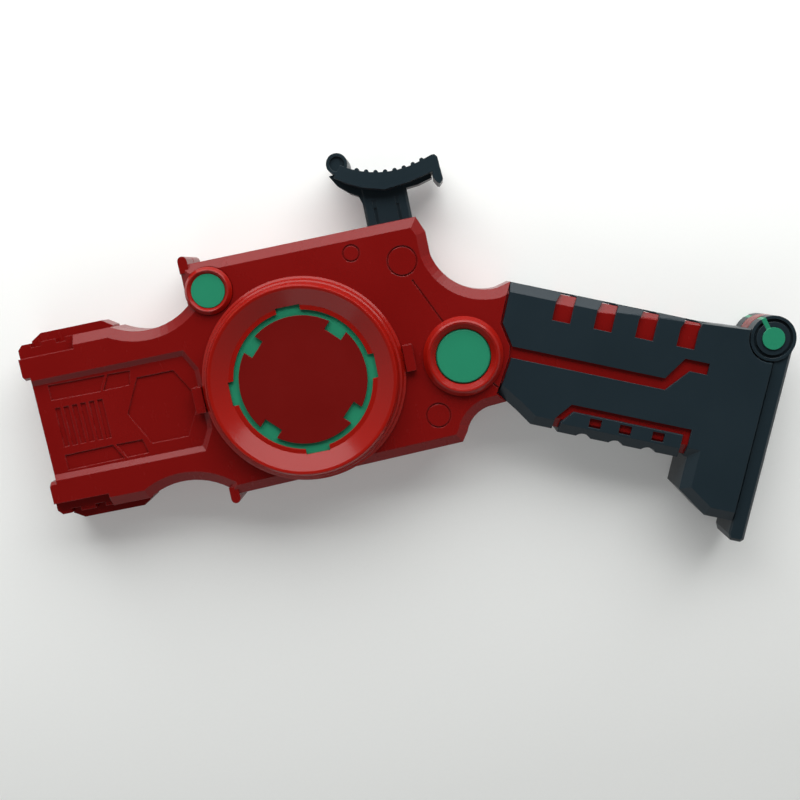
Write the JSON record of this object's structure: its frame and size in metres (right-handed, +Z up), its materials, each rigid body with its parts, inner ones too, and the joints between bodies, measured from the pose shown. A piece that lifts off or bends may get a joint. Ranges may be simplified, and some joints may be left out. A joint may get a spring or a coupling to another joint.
{
  "type": "spinning top launcher",
  "caption": "Flat pistol-shaped toy launcher: round turret that seats a spinning top, geared flywheel rotor, thumb plunger, release button with brake, covered grip and hinged butt plate.",
  "frame": {"origin": "turret's axis at the flat rear face, on which the launcher lies", "axes": "+Z up out of the turret, +X from the turret towards the hinge of the butt plate, +Y towards the thumb plunger"},
  "size_m": [0.2508, 0.1513, 0.029],
  "materials": {
    "red_plastic": "semi-gloss moulded",
    "ring_plastic": "gloss moulded",
    "cap_plastic": "satin moulded",
    "slate_plastic": "satin moulded",
    "teal_plastic": "semi-gloss moulded",
    "pale_plastic": "plain moulded",
    "steel": "turned",
    "spring_steel": "drawn wire",
    "brass": "turned"
  },
  "bodies": {
    "case": {"front_shell": "red_plastic", "rear_shell": "red_plastic", "muzzle_core": "red_plastic", "turret_ring": "ring_plastic", "rear_bush": "brass", "plate_bush": "brass", "gear_plate": "pale_plastic", "step_axle": "steel", "return_spring": "spring_steel", "button_collar": "ring_plastic", "button_spring": "spring_steel", "brake_pin": "steel", "side_collar": "ring_plastic", "side_cap": "teal_plastic", "grip_cover_front": "slate_plastic", "grip_cover_rear": "slate_plastic", "grip_strip_front": "slate_plastic", "grip_strip_rear": "slate_plastic", "screws": "steel"},
    "rotor": {"rotor_shaft": "steel", "rotor_gear": "brass", "flywheel": "steel", "drive_disc": "teal_plastic", "drive_cap": "cap_plastic"},
    "step": {"step_gear": "pale_plastic"},
    "plunger": {"plunger": "slate_plastic"},
    "button": {"release_button": "teal_plastic"},
    "brake": {"brake_lever": "pale_plastic"},
    "butt": {"butt_plate": "slate_plastic", "hinge_pin": "teal_plastic"}
  },
  "joints": [
    {"name": "rotor_spin", "type": "hinge", "parent": "case", "child": "rotor", "pos_m": [0, 0, 0], "axis": [0, 0, 1], "range_deg": [0, 307.39]},
    {"name": "step_gear_spin", "type": "hinge", "parent": "case", "child": "step", "pos_m": [0.0235, 0, 0], "axis": [0, 0, 1], "range_deg": [-83.1, 0]},
    {"name": "plunger_slide", "type": "slide", "parent": "case", "child": "plunger", "axis": [0, -1, 0], "range_m": [0, 0.00871], "stiffness_N_per_m": 150, "springref_m": -0.004, "deforming": ["return_spring"]},
    {"name": "button_press", "type": "slide", "parent": "case", "child": "button", "axis": [0, 0, -1], "range_m": [0, 0.0015], "stiffness_N_per_m": 500, "springref_m": -0.001, "deforming": ["button_spring"]},
    {"name": "brake_swing", "type": "hinge", "parent": "case", "child": "brake", "pos_m": [0.0415, -0.015, 0.0147], "axis": [0, 0, 1], "range_deg": [0, 8.61]},
    {"name": "butt_hinge", "type": "hinge", "parent": "case", "child": "butt", "pos_m": [0.1514, -0.0174, 0.011], "axis": [0, 0, 1], "range_deg": [0, 90]}
  ],
  "couplings": [
    {"joint": "step_gear_spin", "follows": "rotor_spin", "ratio": -0.27027},
    {"joint": "plunger_slide", "follows": "rotor_spin", "m_per_rad": 0.0016216},
    {"joint": "brake_swing", "follows": "button_press", "rad_per_m": 100}
  ]
}
